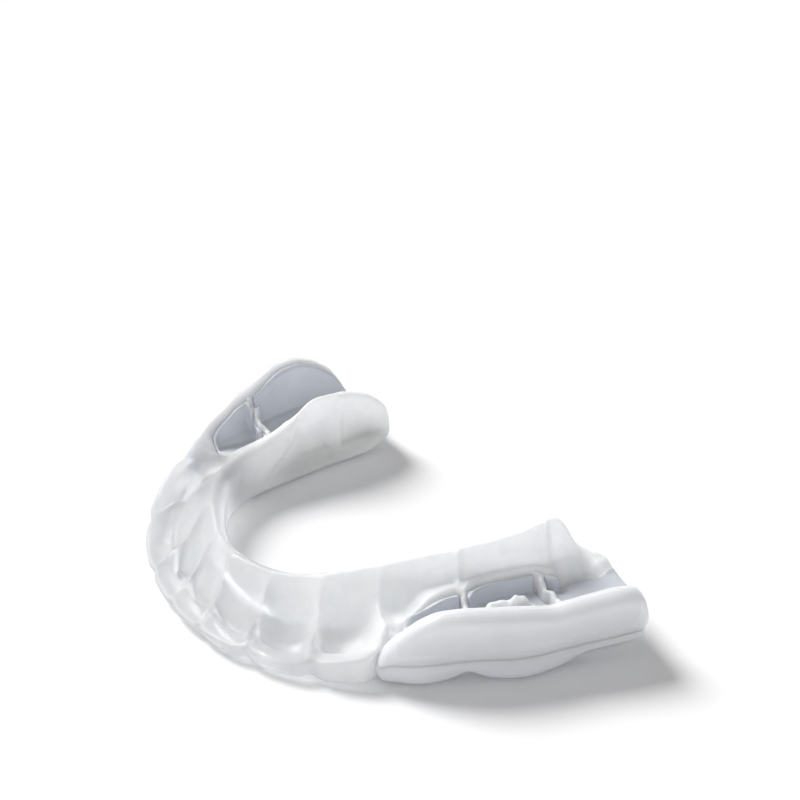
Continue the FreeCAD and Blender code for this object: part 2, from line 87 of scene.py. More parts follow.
# Places where two teeth met.
BOUNDARIES = (-43.4, -35.4, -26.6, -19.4, -12.6, -5.2, 0.4, 6.0, 12.6, 19.0, 25.5, 34.2, 43.4, 53.0)

# The thin webs between the grey cells: place along the row, lean, and height at the tongue side and cheek.
WEBS = ((34.2, 0.08, 6.9, 6.9), (43.3, 0.20, 7.1, 6.8), (-26.2, -0.22, 6.2, 8.2))
WEB_HALF = 0.26

# The rough flash beside the right first molar.
FLASH_AT = 38.2
FLASH_HALF = 2.8
FLASH_TOP = 7.5

# The grey lining stands this far out of the faces that it covers, and reaches this far into them.
LINING_RAISED = 0.32
LINING_SUNK = 0.25


def arch_point(s, n):
    """World x and y of the place s along the tooth row and n outwards from it."""
    along = np.abs(s)
    picks = [along < FRONT_LENGTH, along < CORNER_LENGTH]
    corner = FRONT_ANGLE + (along - FRONT_LENGTH) / CORNER_RADIUS
    cheek = CORNER_ANGLE + (along - CORNER_LENGTH) / CHEEK_RADIUS
    angle = np.select(picks, [along / FRONT_RADIUS, corner], cheek)
    radius = np.select(picks, [FRONT_RADIUS, CORNER_RADIUS], CHEEK_RADIUS) + n
    centre_x = np.select(picks, [FRONT_CENTRE[0], CORNER_CENTRE[0]], CHEEK_CENTRE[0])
    centre_y = np.select(picks, [FRONT_CENTRE[1], CORNER_CENTRE[1]], CHEEK_CENTRE[1])
    return np.sign(s) * (centre_x + radius * np.sin(angle)), centre_y - radius * np.cos(angle)


def curve(s, softness, *knots):
    """A smooth curve through (s, value) knots, rounded over about softness millimetres."""
    fine = np.arange(-70.0, 70.0, 0.1)
    values = np.interp(fine, *zip(*knots))
    reach = np.arange(-3 * softness, 3 * softness + 0.05, 0.1)
    kernel = np.exp(-((reach / softness) ** 2))
    padded = np.pad(values, len(reach) // 2, mode="edge")
    smooth = np.convolve(padded, kernel / kernel.sum(), mode="valid")
    return np.interp(s, fine, smooth[: len(fine)])


def soft_max(a, b, r):
    """The larger of a and b, rounded over r where they cross."""
    h = np.clip(0.5 + 0.5 * (a - b) / r, 0.0, 1.0)
    return b + (a - b) * h + r * h * (1.0 - h)


def soft_min(a, b, r):
    """The smaller of a and b, rounded over r where they cross."""
    return -soft_max(-a, -b, r)


def bump(x, centre, width):
    """A bell of height 1 round centre."""
    return np.exp(-(((x - centre) / width) ** 2))


def ramp(x, start, end):
    """0 before start, 1 after end, smooth between."""
    t = np.clip((x - start) / (end - start), 0.0, 1.0)
    return t * t * (3.0 - 2.0 * t)


def largest_part(points, quads):
    """The vertices and faces of the largest connected surface."""
    label = np.arange(len(points))
    while True:
        lowest = label[quads].min(axis=1)
        joined = label.copy()
        np.minimum.at(joined, quads.ravel(), np.repeat(lowest, 4))
        joined = joined[joined]
        if (joined == label).all():
            break
        label = joined
    kept = label[quads[:, 0]] == np.bincount(label).argmax()
    used, quads = np.unique(quads[kept], return_inverse=True)
    return points[used], quads.reshape(-1, 4)


class Grid:
    """Sample points of one stretch of the guard, as open s, n and z arrays."""

    def __init__(self, s_range, n_range=(-6.2, 8.0), z_range=(-0.8, 12.8)):
        self.low = np.array([s_range[0], n_range[0], z_range[0]])
        counts = [int((b - a) / STEP) + 1 for a, b in (s_range, n_range, z_range)]
        axes = [low + STEP * np.arange(count) for low, count in zip(self.low, counts)]
        self.s, self.n, self.z = np.ix_(*axes)

    def distance(self, field):
        """The field with its slope evened out, so that it reads as a distance near its surface."""
        field = np.clip(np.broadcast_to(field, (self.s.size, self.n.size, self.z.size)), -9.0, 9.0)
        slopes = np.gradient(field, STEP)
        steep = np.sqrt(sum(slope * slope for slope in slopes))
        return field / np.maximum(steep, 0.35)

    def to_object(self, name, field):
        """A mesh object of the largest surface where field is zero."""
        field = np.clip(self.distance(field), -3 * STEP, 3 * STEP).astype(np.float32)
        volume = openvdb.FloatGrid(float(3 * STEP))
        volume.copyFromArray(field)
        points, quads = largest_part(*volume.convertToQuads(0.0))
        s, n, z = (self.low[k] + STEP * points[:, k] for k in range(3))
        x, y = arch_point(s, n)
        mesh = bpy.data.meshes.new(name)
        mesh.from_pydata((np.column_stack([x, y, z]) * MM).tolist(), [], quads.tolist())
        mesh.validate()
        outward_sum = sum(p.center.dot(p.normal) * p.area for p in mesh.polygons)
        if outward_sum < 0:
            mesh.flip_normals()
        mesh.shade_smooth()
        piece = bpy.data.objects.new(name, mesh)
        bpy.context.scene.collection.objects.link(piece)
        return piece


# ---------------------------------------------------------------- the guard's levels along the tooth row


def rim_height(s):
    """Top of the tongue-side wall."""
    return curve(
        s, 0.8,
        (-43.4, 4.0), (-41.8, 6.6), (-39.2, 8.7), (-36.0, 9.8), (-33.0, 10.4), (-30.6, 10.5), (-29.4, 10.0),
        (-28.2, 8.9), (-27.0, 8.3), (-25.6, 7.9), (-24.2, 7.4), (-22.0, 6.8), (-18.0, 6.7), (-9.0, 6.2),
        (0.0, 5.0), (9.0, 6.2), (18.0, 7.4), (27.0, 8.7), (36.0, 10.0), (41.5, 10.9), (44.4, 11.9),
        (46.2, 12.0), (47.2, 10.6), (48.3, 7.8), (50.0, 6.8), (52.0, 6.0),
    )


def tongue_face(s):
    """Outward place of the tongue-side face."""
    knots = (-42.0, 5.0), (-26.0, 4.8), (-12.0, 3.7), (0.0, 3.1), (12.0, 3.6), (26.0, 4.8), (52.0, 5.0)
    return -curve(s, 2.0, *knots)


def tongue_relief(s, z):
    """How far the left tongue-side face steps back: creases where the teeth met, and hollows between them.

    first and second are the leaning creases in front of and behind the first molar.
    """
    first = -22.5 - 0.76 * (z - 1.0) + 0.7 * np.sin(0.8 * z)
    second = -33.6 - 0.15 * (z - 5.0)
    steps = 0.45 * ramp(-s, -first - 0.6, -first + 0.5) - 0.36 * ramp(-s, -second - 0.5, -second + 0.7)
    hollows = 0.22 * bump(s, -17.5 - 0.5 * (z - 4.0), 2.0) + 0.45 * bump(s, -38.5, 2.2) * bump(z, 4.2, 2.2)
    front_panel = 0.35 * ramp(-s, 27.3, 28.8) * (1.0 - ramp(-s, 32.4, 33.4))
    rear_panel = 0.42 * ramp(-s, 34.2, 35.2) * (1.0 - ramp(-s, 39.3, 41.5))
    panels = (front_panel + rear_panel) * ramp(z, 2.3, 3.2) * (1.0 - ramp(z, 5.8, 7.6))
    return (steps + hollows + panels) * ramp(-s, 13.0, 18.0) * ramp(z, 0.6, 2.2)


def wing_top(s):
    """Top of the white cheek wings."""
    return curve(
        s, 0.5,
        (-42.2, 1.0), (-41.6, 3.2), (-40.6, 5.4), (-39.2, 7.8), (-37.0, 9.6), (-34.5, 10.5), (-31.5, 10.4),
        (-27.5, 9.0), (-24.8, 8.3), (-22.0, 7.0), (-20.0, 5.8), (-18.2, 3.9), (-17.3, 1.0), (0.0, 0.0),
        (24.2, 0.5), (24.7, 2.9), (25.6, 4.4), (27.0, 5.8), (28.8, 7.4), (30.6, 8.4), (33.0, 8.6),
        (36.0, 8.4), (39.8, 8.0), (41.4, 7.7), (43.2, 8.0), (45.0, 8.2), (48.5, 8.4), (50.2, 8.1),
        (51.0, 7.3), (51.7, 5.5), (52.0, 1.0),
    )


def row_place(s, n):
    """s with the lean and the waviness of the ridges between the teeth taken out."""
    lean = curve(
        s, 2.0,
        (-30.0, 0.0), (-19.0, 0.25), (-12.0, 0.5), (-5.0, 0.8), (6.0, 0.7), (12.6, 0.3), (19.0, 0.1),
        (25.0, 0.0),
    )
    return s - lean * (n - 0.5) - 0.35 * np.sin(1.1 * n + 0.23 * s) * ramp(np.abs(s), 22.0, 28.0)


def tooth_share(along):
    """0 at the middle of each tooth's socket, 1 at the ridges beside it."""
    edges = np.array(BOUNDARIES)
    k = np.clip(np.searchsorted(edges, along) - 1, 0, len(edges) - 2)
    half = (edges[k + 1] - edges[k]) / 2
    return np.abs(along - edges[k] - half) / half


def socket_shape(s, share):
    """1 at the middle of each tooth's socket, falling to 0 at its ridges."""
    return 1.0 - share ** curve(s, 2.0, (24.0, 3.0), (32.0, 4.0))


def wall_push(s, share):
    """How far the tongue-side wall and its ledge are pushed back at the middle of each tooth."""
    push = curve(s, 2.0, (-43, 0.5), (-24, 0.5), (-12, 0.2), (12, 0.2), (26, 0.5), (34, 0.7), (52, 0.6))
    return push * socket_shape(s, share) + 0.5 * ramp(s, 44.9, 45.4) * (1.0 - ramp(s, 48.4, 50.0))


# Across the trough at each station: (n, z) corners of the level of the ridges, from the rim's inner edge to
# the lip or cheek. The first z of each row gives way to rim_height.
PROFILES = (
    (-42.4, (-3.9, 5.0), (-3.0, 4.4), (-1.9, 4.0), (-0.9, 3.7), (2.8, 3.7), (3.6, 4.0)),
    (-38.0, (-3.9, 8.6), (-3.0, 7.2), (-1.9, 5.8), (-0.9, 4.0), (2.8, 4.0), (3.6, 4.2)),
    (-31.0, (-3.8, 10.4), (-3.1, 8.4), (-2.0, 6.4), (-0.9, 4.0), (2.8, 4.0), (3.6, 4.2)),
    (-24.0, (-3.5, 9.0), (-2.8, 7.4), (-1.8, 5.8), (-0.7, 4.0), (2.8, 4.0), (3.8, 4.4)),
    (-19.4, (-2.8, 7.6), (-1.8, 6.3), (-0.4, 5.3), (1.4, 5.0), (3.0, 5.0), (4.6, 4.6)),
    (-12.5, (-2.2, 6.6), (-1.0, 5.6), (0.6, 3.8), (2.2, 2.4), (3.5, 2.2), (4.8, 2.4)),
    (-5.0, (-1.9, 5.4), (-0.7, 4.8), (0.9, 3.0), (2.5, 1.8), (3.6, 1.6), (4.8, 1.6)),
    (0.4, (-1.9, 4.9), (-0.7, 4.3), (0.9, 2.7), (2.4, 1.6), (3.5, 1.5), (4.8, 1.5)),
    (6.0, (-1.9, 5.6), (-0.8, 4.9), (0.9, 3.1), (2.5, 1.8), (3.6, 1.6), (4.8, 1.6)),
    (12.5, (-2.1, 6.6), (-1.0, 5.6), (0.7, 3.7), (2.3, 2.3), (3.6, 2.0), (4.8, 2.0)),
    (19.0, (-2.6, 7.5), (-1.6, 6.2), (-0.2, 4.3), (1.6, 3.0), (3.6, 2.5), (4.8, 2.4)),
    (25.5, (-3.4, 8.4), (-2.5, 7.2), (-1.4, 5.7), (0.6, 4.7), (3.0, 4.3), (4.4, 4.0)),
    (28.2, (-3.6, 8.8), (-2.8, 7.2), (-0.6, 5.5), (1.5, 6.1), (2.7, 5.2), (3.6, 4.6)),
    (30.4, (-3.7, 9.2), (-3.0, 7.6), (-1.5, 6.1), (0.5, 6.9), (1.5, 4.6), (3.6, 4.2)),
    (34.2, (-3.8, 9.9), (-3.3, 8.0), (-2.4, 6.5), (-0.9, 7.1), (-0.1, 4.3), (3.6, 4.0)),
    (38.0, (-3.9, 10.5), (-3.5, 8.4), (-2.9, 6.7), (-1.7, 7.2), (-0.9, 4.2), (3.6, 4.0)),
    (43.0, (-3.9, 11.6), (-3.5, 8.8), (-3.1, 6.9), (-2.1, 7.4), (-1.3, 4.4), (3.6, 4.4)),
    (45.5, (-3.9, 11.6), (-3.4, 8.6), (-2.9, 7.1), (-1.2, 6.9), (-0.2, 5.2), (3.6, 5.0)),
    (48.4, (-3.8, 7.8), (-3.0, 7.5), (-2.2, 7.3), (-0.9, 6.9), (0.0, 5.8), (3.6, 5.5)),
    (51.6, (-3.8, 6.6), (-3.0, 6.4), (-1.8, 6.4), (-0.8, 6.2), (0.4, 6.0), (3.6, 5.7)),
)


def soften(level, radius):
    """The height map blurred over about radius millimetres both ways."""
    reach = np.arange(-int(2.5 * radius / STEP) - 1, int(2.5 * radius / STEP) + 2) * STEP
    kernel = np.exp(-((reach / radius) ** 2))
    kernel /= kernel.sum()
    edge = len(kernel) // 2
    for axis in (0, 1):
        padded = np.pad(level, [(edge, edge) if k == axis else (0, 0) for k in (0, 1)], mode="edge")
        level = np.apply_along_axis(lambda line: np.convolve(line, kernel, mode="valid"), axis, padded)
    return level


def ridge_level(s, n, share):
    """Height of the trough's walls, ledge and floor over the places s, n, before the sockets are sunk."""
    stations = [row[0] for row in PROFILES]
    corners = np.array([row[1:] for row in PROFILES])
    row = s[:, 0]
    corner_n = np.stack([np.interp(row, stations, corners[:, k, 0]) for k in range(6)])
    corner_z = np.stack([np.interp(row, stations, corners[:, k, 1]) for k in range(6)])
    corner_z[0] = rim_height(row)
    push = wall_push(s, share)

    # The wall's face is hollowed at each molar, with a rib where two molars met.
    panel = (0.35 + 0.5 * ramp(s, 44.0, 46.0)) * (1.0 - share ** 9)
    panel = panel * ramp(s, 28.0, 30.0) * (1.0 - ramp(s, 49.0, 50.5))
    panel = panel - 0.8 * bump(s, 44.4, 0.35) - 0.45 * bump(s, 34.2, 0.4)

    level = np.empty((s.size, n.size))
    for i in range(s.size):
        moved = n[0] + push[i] * ramp(n[0], -4.1, -2.9) + panel[i] * ramp(n[0], -4.7, -3.9)
        level[i] = np.interp(moved, corner_n[:, i], corner_z[:, i])
    return soften(level, 0.26)


def trough_level(s, n):
    """Height of the clear shell's upper face over the places s, n."""
    share = tooth_share(row_place(s, n))
    level = ridge_level(s, n, share)

    # Lumps on the ledge at the rear of the right side.
    lumps = np.sin(2.6 * s + 1.4 * n) * np.sin(2.2 * n - 0.9 * s + 0.6)
    level += 0.14 * lumps * ramp(s, 43.8, 45.0) * ramp(n, -3.4, -2.6) * (1.0 - ramp(n, -1.2, -0.4))

    # Each tooth's socket, from the foot of the wall to just inside the lip.
    depth = curve(
        s, 1.5,
        (-43, 0.2), (-34, 0.3), (-24, 0.6), (-19, 1.1), (-8, 0.9), (6, 0.85), (13, 1.3), (22, 2.0), (27, 1.3),
        (31, 0.5), (36, 0.1), (52, 0.1),
    )
    reach = curve(
        s, 1.5,
        (-24, 3.4), (-19, 4.2), (-10, 3.9), (0, 3.7), (10, 3.8), (20, 4.5), (26, 4.0), (30, 2.4),
    )
    far_end = reach - 1.1 * share ** 2
    across = ramp(n, -2.4, -0.2) * (1.0 - ramp(n, far_end - 1.1, far_end))
    level -= depth * across * socket_shape(s, share)

    # Low peaks where the ridges meet the lip.
    peaks = curve(
        s, 1.5,
        (-36, 0.0), (-26, 0.4), (-19, 1.2), (-8, 0.5), (6, 0.45), (12.6, 1.1), (19.0, 1.3), (25.5, 1.0),
        (28, 0.2), (52, 0.0),
    )
    level += peaks * bump(share, 1.0, 0.11) * bump(n, 3.0, 1.3)
    return level


# ---------------------------------------------------------------- solids as fields, negative inside


def outer_face(s, z):
    """Outward place of the white pads' cheek face, swelling under each molar."""
    right_lobes = 0.85 * bump(s, 29.2, 2.9) + 1.35 * bump(s, 38.8, 4.2)
    lobes = right_lobes + 0.5 * bump(s, -26.0, 3.4) + 0.5 * bump(s, -35.0, 4.0)
    upright = 5.55 + 0.2 * ramp(z, 1.0, 3.6) - 0.08 * np.clip(2.6 - z, 0, None) ** 2
    return upright + lobes * (1.0 - 0.55 * ramp(z, 0.9, 3.6))


def pad_field(grid, side):
    """White bite pad of one side: rounded flanks, two lobes low on the cheek side, rear end lifted."""
    s, n, z = grid.s * side, grid.n, grid.z
    start, end = PAD_START[side], SIDE_END[side]
    inner_start, notch_at = (29.0, 33.6) if side > 0 else (24.5, 30.0)
    start = start + (inner_start - start) * ramp(-n, -4.2, 0.5)
    lift = 1.2 * ramp(s, end - 9.6, end - 5.6) + 0.25 * ramp(s, end - 5.0, end)
    notch = 1.0 * bump(s, notch_at, 1.3) * ramp(n, 2.2, 5.4)
    bottom = 0.02 + lift + notch
    inner_face = tongue_face(grid.s) + tongue_relief(grid.s, z) + 0.4
    field = soft_max(n - outer_face(grid.s, z), inner_face - n, 0.8)
    field = soft_max(field, bottom - z, PAD_ROUNDING)
    field = soft_max(field, z - PAD_TOP, 0.06)
    field = soft_max(field, start - s, 1.5)
    return soft_max(field, s - end, 1.2)


def gusset_field(grid):
    """White web that closes the front of the left wing, slanting across the tooth row."""
    s, n, z = grid.s, grid.n, grid.z
    back = LEFT_CELL_FRONT - CELL_SLANT * (n + 0.5) - 0.15 * (z - 4.5)
    top = 4.9 + 0.25 * np.clip(n, 0.0, 4.4) - 3.2 * ramp(s, -20.4, -17.0)
    field = soft_max(back - s, z - top, 0.9)
    field = np.maximum(field, s + 16.8)
    field = soft_max(field, -0.7 - n, 0.8)
    return soft_max(field, n - 5.0, 0.8)


def wing_field(grid, side, extra=0.0):
    """White cheek wing of one side, grown by extra: a wall that leans outwards to a thick rounded crest."""
    s, n, z = grid.s, grid.n, grid.z
    radius = curve(
        s, 1.0,
        (-42.0, 0.9), (-34.0, 0.95), (-29.0, 1.2), (-23.0, 1.4), (-18.0, 1.2), (24.0, 0.8), (28.0, 1.2),
        (34.0, 1.35), (52.0, 1.45),
    )
    lean = curve(
        s, 2.0,
        (-42.0, 0.66), (-38.0, 0.82), (-34.0, 1.05), (-28.0, 0.9), (-18.0, 0.5), (24.0, 0.5), (30.0, 0.7),
        (46.0, 0.9), (52.0, 0.8),
    )
    foot = WING_FOOT + BADGE_SWELL * bump(s, -33.2, 6.5)
    crest = wing_top(s) - radius
    span = np.maximum(crest - WING_BASE, 0.01)

    def wall(height):
        """Outward place of the wall's middle, and half its thickness, at a height."""
        share = np.clip((height - WING_BASE) / span, 0.0, 1.0)
        return foot + lean * share * share * (3.0 - 2.0 * share), radius * (1.0 - 0.06 * (1.0 - share))

    join_middle, join_half = wall(PAD_TOP)
    skirt = np.clip(outer_face(s, PAD_TOP) - join_middle - join_half, 0.0, None) * (1.0 - ramp(z, 2.9, 6.2))
    middle, half = wall(z)
    above = np.maximum(z - crest, 0.0)
    field = np.sqrt((n - middle) ** 2 + above ** 2) - half - skirt - extra
    field = grid.distance(np.where(crest > WING_BASE, field, 1.0 + WING_BASE - crest))
    if side < 0 and extra == 0.0:
        field = soft_min(field, grid.distance(gusset_field(grid)), 1.0)
    field = soft_max(field, WING_UNDERSIDE - z, 0.15)
    field = soft_max(field, WING_START[side] - extra - s * side, 1.2)
    return soft_max(field, s * side - SIDE_END[side] - extra, 1.2)


def fillet_white(grid, side, pad, wing):
    """The pad and wing of one side with a shared fillet, each running on a little under the other's face."""
    s, n, z = grid.s * side, grid.n, grid.z
    start = PAD_START[side]
    overlap = 0.14
    pad = grid.distance(pad)
    both = soft_min(pad, wing, 0.6)

    # The pad's outer edge rises inside the wing, and the wing goes down inside the pad.
    root = np.clip(wing_top(grid.s) - 0.9 - PAD_TOP, 0.0, 1.2) * ramp(n, 3.5, 4.6)
    root = root * ramp(s, start + 2.0, start + 5.0)
    new_pad = np.maximum(both + overlap * ramp(z, PAD_TOP - 0.5, PAD_TOP + 1.2), z - PAD_TOP - root)
    new_pad = np.maximum(new_pad, pad - 1.5 * ramp(s, start + 1.0, start + 3.0) - 0.02)

    new_wing = both + overlap * (1.0 - ramp(z, WING_UNDERSIDE, PAD_TOP))
    new_wing = np.maximum(new_wing, WING_UNDERSIDE - z)
    new_wing = np.maximum(new_wing, wing - 0.6 * ramp(s, start, start + 2.0))
    return new_pad, new_wing


def film_field(grid, side):
    """Thin skin over the wing's cheek face and crest, sinking into the wing at its edges."""
    s, n, z = grid.s * side, grid.n, grid.z
    start, end, bottom = FILM_START[side], FILM_END[side], PAD_TOP + 0.1
    inwards = ramp(z, bottom, 5.0) * ramp(n, 4.9, 5.6)
    inwards = inwards * ramp(s, start, start + 2.0) * ramp(end - s, 0.0, 1.8)
    outer = wing_field(grid, side, 0.12) + 0.27 * (1.0 - inwards)
    field = np.maximum(outer, -wing_field(grid, side, -0.22))
    field = soft_max(field, 4.9 - n, 0.2)
    field = soft_max(soft_max(field, start - s, 0.3), s - end, 0.3)
    return soft_max(field, bottom - z, 0.2)


def shell_field(grid):
    """Clear shell: floor, tongue-side wall, sockets, ridges and the low lip round the front teeth."""
    s, n, z = grid.s, grid.n, grid.z
    level = trough_level(s[:, :, 0], n[:, :, 0])[:, :, None]
    slope_s, slope_n = np.gradient(level[:, :, 0], STEP)
    steep = np.sqrt(1.0 + slope_s ** 2 + slope_n ** 2)[:, :, None]
    top = (z - level) / np.minimum(steep, 3.0)

    # The lip is notched between the teeth, but not where the wings cover it.
    covered = np.clip(ramp(s, 24.0, 26.5) + ramp(-s, 19.5, 23.0), 0, 1)
    notches = curve(s, 2.0, (-13.0, 0.5), (-8.0, 0.3), (8.0, 0.3), (12.6, 0.65), (26.0, 0.85))
    scallop = notches * bump(tooth_share(row_place(s, n)), 1.0, 0.24) * (1.0 - covered)
    outside = curve(s, 1.0, (-26.0, 4.3), (-21.0, 5.2), (-17.0, 5.8), (23.5, 5.8), (25.5, 5.0), (27.5, 4.3))
    outside = outside - scallop - 0.12 * np.clip(1.6 - z, 0, None) ** 2
    inside = tongue_face(s) + 0.10 * np.clip(1.2 - z, 0, None) ** 2 + tongue_relief(s, z)
    underside = 0.03 + 1.5 * ramp(-s, 37.5, 42.6)
    frontness = 1.0 - ramp(np.abs(s), 14.0, 22.0)

    field = soft_max(top, n - outside, 0.55)
    field = soft_max(field, inside - n, 1.0 + 1.0 * frontness)
    field = soft_max(field, underside - z, 0.9 + 0.6 * frontness)
    field = soft_max(field, s - SIDE_END[1], 0.8)
    return soft_max(field, -SIDE_END[-1] - 0.3 - s, 1.5)


def web_fields(grid):
    """Thin ridges that part the grey-lined cells."""
    s, n, z = grid.s, grid.n, grid.z
    field = 9.0
    for where, lean, inner, outer in WEBS:
        wave = 0.16 * np.sin(2.3 * n + where) + 0.10 * np.sin(5.1 * n + 2.0 * where)
        middle = where + lean * (n - 1.0) + wave
        sag = np.clip((n + 2.2) / 6.0, 0.0, 1.0)  # 0 at the web's tongue end, 1 at its cheek end
        top = inner + (outer - inner) * sag - 0.9 * np.sin(np.pi * sag) + 0.15 * np.sin(3.7 * n + where)
        half = WEB_HALF * (1.0 + 0.4 * np.clip(top - z, 0, 3) / 3 + 0.3 * ramp(n, 2.6, 4.2))
        rib = soft_max(np.abs(s - middle) - half, z - top, 0.4)
        rib = soft_max(rib, -2.4 - n, 0.4)
        rib = np.maximum(rib, np.maximum(n - 4.6, 3.0 - z))
        field = np.minimum(field, rib)
    return field


def flash_field(grid):
    """Rough flash where plastic was squeezed out beside the right first molar."""
    s, n, z = grid.s, grid.n, grid.z
    aside = np.abs(s - FLASH_AT)
    top = FLASH_TOP + 0.22 * np.sin(2.3 * s + 0.7) + 0.13 * np.sin(5.1 * s) + 0.25 * np.sin(3.1 * n)
    top = top - 1.6 * ramp(aside, 1.2, 3.0)
    sheet = np.abs(n - 2.7 - 0.3 * np.sin(1.7 * s)) - 0.45 - 0.12 * np.sin(3.3 * s + 2.1 * z)
    flash = soft_max(sheet, z - top, 0.4)
    flash = soft_max(flash, aside - FLASH_HALF, 0.6)
    return soft_max(flash, 3.8 - z, 0.3)


def lining_field(grid, side, wing, start, end):
    """Grey layer on the trough's faces between two distances along the row."""
    s, n, z = grid.s, grid.n, grid.z
    body = grid.distance(shell_field(grid))
    if side < 0:
        body = soft_min(body, web_fields(grid) + 0.1, 0.5)
    body = np.minimum(body, wing)
    field = np.maximum(body - LINING_RAISED, -LINING_SUNK - body)

    # The layer ends below the ledge at the tongue side and just below the wing's crest.
    ledge = curve(
        s, 1.0,
        (-42, 3.8), (-38, 5.4), (-31, 6.0), (-24, 5.4), (-19, 4.6), (28.2, 5.6), (30.4, 6.35), (34.2, 6.5),
        (38, 6.6), (43, 6.8), (45.5, 6.6), (48.4, 6.6), (51.6, 6.5),
    )
    ledge = ledge + 0.06 * np.sin(0.9 * s)
    cheek_limit = wing_top(s) - 0.75 + 0.1 * np.sin(0.7 * s) + 0.3 * ramp(-s, 27.0, 31.0)
    field = soft_max(field, z - ledge - (cheek_limit - ledge) * ramp(n, 1.6, 2.8), 0.3)

    inner = curve(
        s, 1.0,
        (-42, -2.4), (-20, -2.2), (28.2, 1.6), (30.4, 0.5), (34.2, -0.85), (38, -1.65), (43, -2.05),
        (45.5, -0.9), (48.4, -0.8), (51.6, -0.8),
    )
    push = wall_push(s, tooth_share(row_place(s, -1.0)))
    inner = inner - push * (1.0 - ramp(s, 43.6, 45.0)) * ramp(s, 0.0, 1.0)
    field = soft_max(field, inner + 0.2 * np.sin(1.7 * s) * ramp(s, 43.0, 46.0) - n, 0.3)
    field = np.maximum(field, np.maximum(n - 5.6, 3.4 - z))

    # Its ends lean with the webs, and the front one of the left side stops at the gusset.
    if side < 0 and start < 20.0:
        field = soft_max(field, s - LEFT_CELL_FRONT + CELL_SLANT * (n + 0.5), 0.3)
    low, high = sorted((start * side, end * side))
    lean = curve(
        s, 1.0,
        (-34.0, 0.0), (-27.0, -0.22), (-25.0, -0.22), (-20.0, 0.0), (29.0, 0.0), (34.2, 0.08), (43.3, 0.20),
        (50.0, 0.0),
    )
    upright = s - lean * (n - 1.0)
    return soft_max(soft_max(field, low - upright, 0.4), upright - high, 0.4)


def carve(target, target_grid, cutter, cutter_grid, inset):
    """Removes the cutter solid, shrunk by inset, from the target's field."""
    first = max(int(round((cutter_grid.low[0] - target_grid.low[0]) / STEP)), 0)
    stretch = slice(first, first + cutter.shape[0])
    window = target[stretch]
    target[stretch] = np.maximum(window, -(cutter[: window.shape[0]] + inset))


# ---------------------------------------------------------------- materials


def principled(name, colour, **inputs):
    """A new material and its Principled node."""
    material = bpy.data.materials.new(name)
    material.use_nodes = True
    shader = material.node_tree.nodes["Principled BSDF"]
    shader.inputs["Base Color"].default_value = (*colour, 1.0)
    for key, value in inputs.items():
        shader.inputs[key.replace("_", " ")].default_value = value
    material.diffuse_color = (*colour, 1.0)
    return material, shader


def noise(tree, scale, detail=3.0, roughness=0.5, distortion=0.0):
    """A noise texture in object coordinates, scale per metre."""
    coordinates = tree.nodes.new("ShaderNodeTexCoord")
    texture = tree.nodes.new("ShaderNodeTexNoise")
    texture.inputs["Scale"].default_value = scale
    texture.inputs["Detail"].default_value = detail
    texture.inputs["Roughness"].default_value = roughness
    texture.inputs["Distortion"].default_value = distortion
    tree.links.new(coordinates.outputs["Object"], texture.inputs["Vector"])
    return texture.outputs["Fac"]


def map_range(tree, value, start, end, low, high, interpolation="LINEAR"):
    """value from start..end to low..high, all single numbers."""
    node = tree.nodes.new("ShaderNodeMapRange")
    node.interpolation_type = interpolation
    node.inputs["From Min"].default_value = start
    node.inputs["From Max"].default_value = end
    node.inputs["To Min"].default_value = low
    node.inputs["To Max"].default_value = high
    tree.links.new(value, node.inputs["Value"])
    return node.outputs["Result"]


def remap(tree, value, low, high):
    """A noise value, most of which lies between 0.25 and 0.75, spread over low..high."""
    return map_range(tree, value, 0.25, 0.75, low, high)


def axis_place(tree, coordinates, axis):
    """The X, Y or Z part of the named texture coordinates."""
    source = tree.nodes.new("ShaderNodeTexCoord")
    parts = tree.nodes.new("ShaderNodeSeparateXYZ")
    tree.links.new(source.outputs[coordinates], parts.inputs["Vector"])
    return parts.outputs[axis]


def two_tone(tree, value, first, second):
    """A colour between first and second, following a noise value."""
    node = tree.nodes.new("ShaderNodeValToRGB")
    node.color_ramp.elements[0].position = 0.35
    node.color_ramp.elements[0].color = (*first, 1.0)
    node.color_ramp.elements[1].position = 0.65
    node.color_ramp.elements[1].color = (*second, 1.0)
    tree.links.new(value, node.inputs["Fac"])
    return node.outputs["Color"]


def colour_mix(tree, factor):
    """A mix of two colours by a linked factor."""
    node = tree.nodes.new("ShaderNodeMix")
    node.data_type = "RGBA"
    tree.links.new(factor, node.inputs["Factor"])
    return node


def relief(tree, shader, value, strength, depth):
    """Bump of the given depth in metres."""
    node = tree.nodes.new("ShaderNodeBump")
    node.inputs["Strength"].default_value = strength
    node.inputs["Distance"].default_value = depth
    tree.links.new(value, node.inputs["Height"])
    tree.links.new(node.outputs["Normal"], shader.inputs["Normal"])


